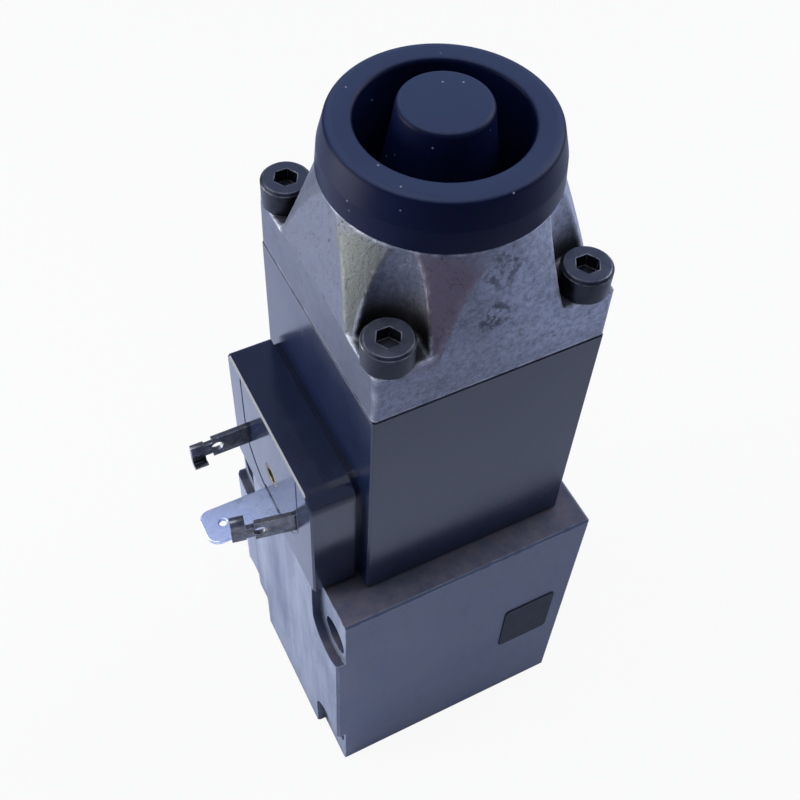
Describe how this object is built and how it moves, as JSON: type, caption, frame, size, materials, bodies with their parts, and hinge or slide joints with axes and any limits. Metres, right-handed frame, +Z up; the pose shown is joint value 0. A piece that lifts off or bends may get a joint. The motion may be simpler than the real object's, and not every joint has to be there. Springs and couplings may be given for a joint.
{
  "type": "solenoid directional control valve",
  "caption": "Directly operated seated solenoid valve for manifold mounting, with a form A connector base and a rubber-capped manual override button.",
  "frame": {"origin": "on the valve axis, at the underside of the valve block", "axes": "+Z up along the valve axis, from the block to the button; +X out of the port face; -X is the connector side; -Y is the front with the plate's place"},
  "size_m": [0.0589, 0.0425, 0.1349],
  "materials": {
    "phosphated_steel": "phosphated, satin, worn bright along its edges",
    "black_lacquered_steel": "black lacquer, semi-gloss",
    "cast_aluminium": "die-cast skin, grey with dark specks",
    "blackened_screw_steel": "black oxide, worn bright at the rims",
    "cap_rubber": "matt moulded rubber",
    "seal_rubber": "smooth rubber",
    "black_moulding": "glossy moulded thermoset",
    "bobbin_plastic": "moulded",
    "brass_insert": "turned",
    "tinned_brass": "stamped and tinned",
    "bright_earth_blade": "stamped and tinned, bright",
    "bronze": "turned",
    "ground_steel": "turned and ground",
    "spring_steel": "drawn wire",
    "enamelled_copper": "enamelled wire, wound in layers"
  },
  "bodies": {
    "valve": {"valve_body": "phosphated_steel", "lower_seat": "ground_steel", "upper_seat": "ground_steel", "guide_bush": "bronze", "sleeve_seals": "seal_rubber", "port_seals": "seal_rubber", "pole_piece": "ground_steel", "pole_seal": "seal_rubber", "antistick_shim": "bronze", "armature_tube": "ground_steel", "base_gasket": "seal_rubber", "yoke_plate": "ground_steel", "solenoid_housing": "black_lacquered_steel", "coil_bobbin": "bobbin_plastic", "coil_winding": "enamelled_copper", "connector_base": "black_moulding", "connector_insert": "brass_insert", "near_terminal": "tinned_brass", "far_terminal": "tinned_brass", "earth_terminal": "bright_earth_blade", "cover_gasket": "seal_rubber", "cast_cover": "cast_aluminium", "cover_screws": "blackened_screw_steel", "override_guide": "ground_steel", "guide_seal": "seal_rubber", "rubber_cap": "cap_rubber", "boot_web": "cap_rubber", "poppet_spring": "spring_steel"},
    "armature": {"armature": "ground_steel"},
    "push_pin": {"push_pin": "ground_steel"},
    "poppet": {"poppet": "ground_steel", "spring_follower": "ground_steel"},
    "override_pin": {"override_pin": "ground_steel"},
    "button": {"manual_button": "cap_rubber"}
  },
  "joints": [
    {"name": "armature_stroke", "type": "slide", "parent": "valve", "child": "armature", "axis": [0, 0, -1], "range_m": [0, 0.0015], "stiffness_N_per_m": 800, "springref_m": -0.003},
    {"name": "push_pin_stroke", "type": "slide", "parent": "valve", "child": "push_pin", "axis": [0, 0, -1], "range_m": [0, 0.0015]},
    {"name": "poppet_stroke", "type": "slide", "parent": "valve", "child": "poppet", "axis": [0, 0, -1], "range_m": [0, 0.0015], "deforming": ["poppet_spring"]},
    {"name": "override_pin_stroke", "type": "slide", "parent": "valve", "child": "override_pin", "axis": [0, 0, -1], "range_m": [0, 0.0015]},
    {"name": "button_press", "type": "slide", "parent": "valve", "child": "button", "axis": [0, 0, -1], "range_m": [0, 0.0015], "stiffness_N_per_m": 300, "deforming": ["boot_web"]}
  ],
  "couplings": [
    {"joint": "push_pin_stroke", "follows": "armature_stroke", "ratio": 1},
    {"joint": "poppet_stroke", "follows": "armature_stroke", "ratio": 1},
    {"joint": "override_pin_stroke", "follows": "armature_stroke", "ratio": 1},
    {"joint": "button_press", "follows": "armature_stroke", "ratio": 1}
  ]
}
